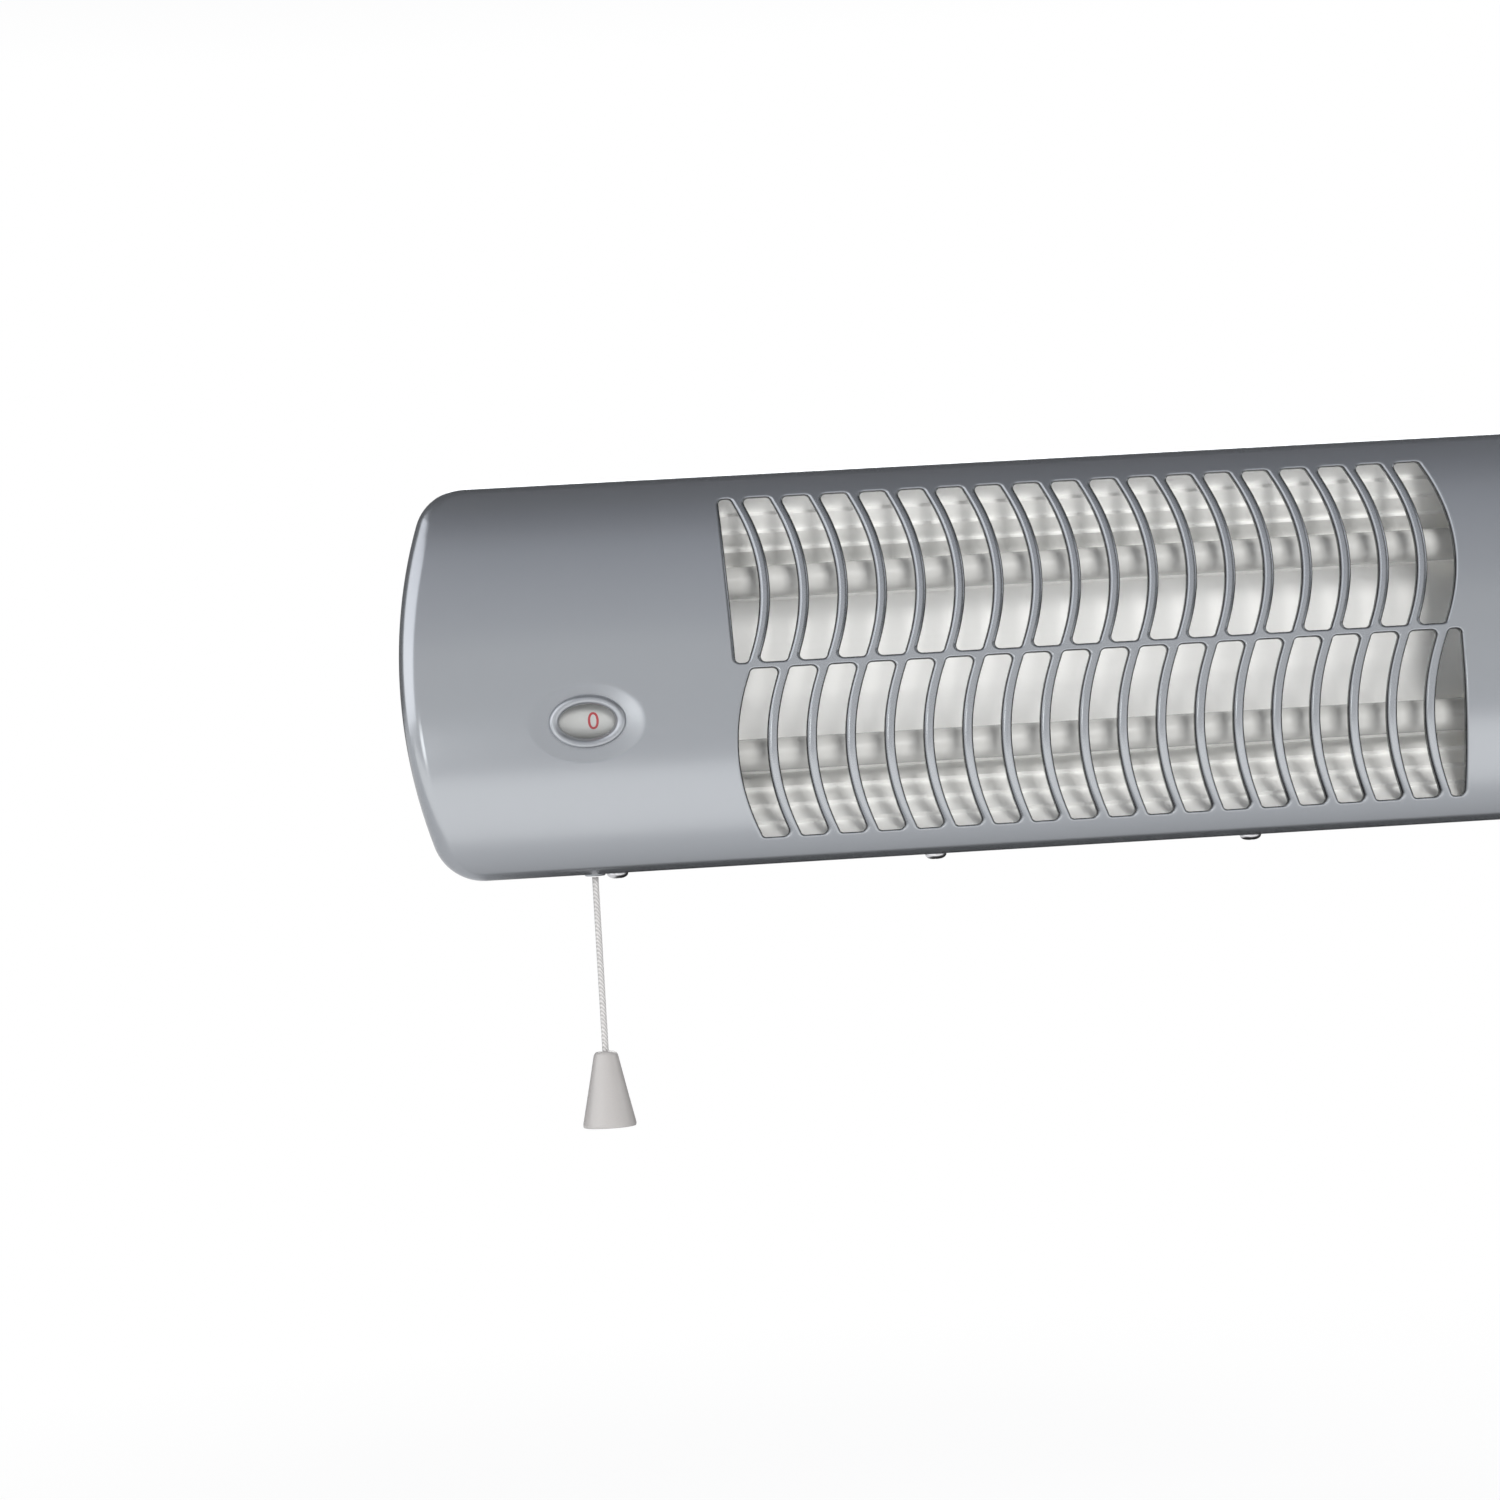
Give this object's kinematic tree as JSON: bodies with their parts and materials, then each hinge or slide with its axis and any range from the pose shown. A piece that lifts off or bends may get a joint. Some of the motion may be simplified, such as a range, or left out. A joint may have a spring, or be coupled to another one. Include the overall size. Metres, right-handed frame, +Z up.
{
  "type": "wall quartz heater",
  "caption": "Wall-mounted quartz heater: arched steel cover with an S-barred grille, quartz tubes before a stepped reflector, tilting bracket and pull-cord switch.",
  "frame": {"origin": "middle of the wall bracket, on its wall face", "axes": "+X along the length, +Y into the wall, +Z up; the heater faces -Y"},
  "size_m": [0.5114, 0.0962, 0.2407],
  "materials": {
    "casing_paint": "satin silver-grey metallic paint",
    "painted_steel": "satin silver-grey paint on bent steel strip",
    "galvanised_steel": "plain zinc-coated sheet",
    "bright_aluminium": "polished, mirror bright",
    "milky_quartz": "milky, satin",
    "coil_wire": "oxidised resistance wire",
    "ceramic": "unglazed steatite",
    "switch_plastic": "moulded heat-resistant plastic",
    "drum_plastic": "light grey, printed in red",
    "bezel_plastic": "silver-grey, satin",
    "bush_plastic": "dark moulded plastic",
    "cord_fibre": "braided off-white",
    "knob_plastic": "light warm grey",
    "zinc_steel": "bright zinc plated",
    "brass": "plain"
  },
  "bodies": {
    "wall_mount": {"wall_bracket": "painted_steel", "pivot_bolts": "zinc_steel", "wing_nuts": "zinc_steel"},
    "heater": {"back_pan": "galvanised_steel", "bottom_cover_screws": "zinc_steel", "cable_gland": "bush_plastic", "cord_bush": "bush_plastic", "earth_screw": "brass", "front_cover": "casing_paint", "indicator_bezel": "bezel_plastic", "left_hinge_lug": "galvanised_steel", "left_tube_holder": "galvanised_steel", "lower_heating_coil": "coil_wire", "lower_left_end_cap": "ceramic", "lower_quartz_tube": "milky_quartz", "lower_right_end_cap": "ceramic", "reflector": "bright_aluminium", "return_spring": "zinc_steel", "right_hinge_lug": "galvanised_steel", "right_tube_holder": "galvanised_steel", "switch_housing": "switch_plastic", "terminal_block": "ceramic", "terminal_nuts": "zinc_steel", "terminal_screws": "brass", "terminal_studs": "brass", "thermal_cutout": "switch_plastic", "top_cover_screws": "zinc_steel", "upper_heating_coil": "coil_wire", "upper_left_end_cap": "ceramic", "upper_quartz_tube": "milky_quartz", "upper_right_end_cap": "ceramic"},
    "pull": {"pull_slider": "switch_plastic", "inner_cord": "cord_fibre"},
    "cord": {"pull_cord": "cord_fibre", "pull_knob": "knob_plastic"},
    "dial": {"indicator_drum": "drum_plastic", "drum_axle": "zinc_steel", "ratchet_wheel": "switch_plastic"}
  },
  "joints": [
    {"name": "tilt", "type": "hinge", "parent": "wall_mount", "child": "heater", "pos_m": [0, -0.02, 0], "axis": [1, 0, 0], "range_deg": [0, 25]},
    {"name": "pull", "type": "slide", "parent": "heater", "child": "pull", "axis": [0, 0, -1], "range_m": [0, 0.012], "stiffness_N_per_m": 250, "springref_m": -0.006, "deforming": ["return_spring"]},
    {"name": "cord_hang", "type": "hinge", "parent": "pull", "child": "cord", "pos_m": [-0.18865, -0.062, -0.0747], "axis": [1, 0, 0], "range_deg": [-25, 0]},
    {"name": "dial_turn", "type": "hinge", "parent": "heater", "child": "dial", "pos_m": [-0.18865, -0.07775, -0.0147], "axis": [-1, 0, 0], "range_deg": [0, 60]}
  ],
  "couplings": [
    {"joint": "dial_turn", "follows": "pull", "rad_per_m": 87.266},
    {"joint": "cord_hang", "follows": "tilt", "ratio": -1}
  ]
}
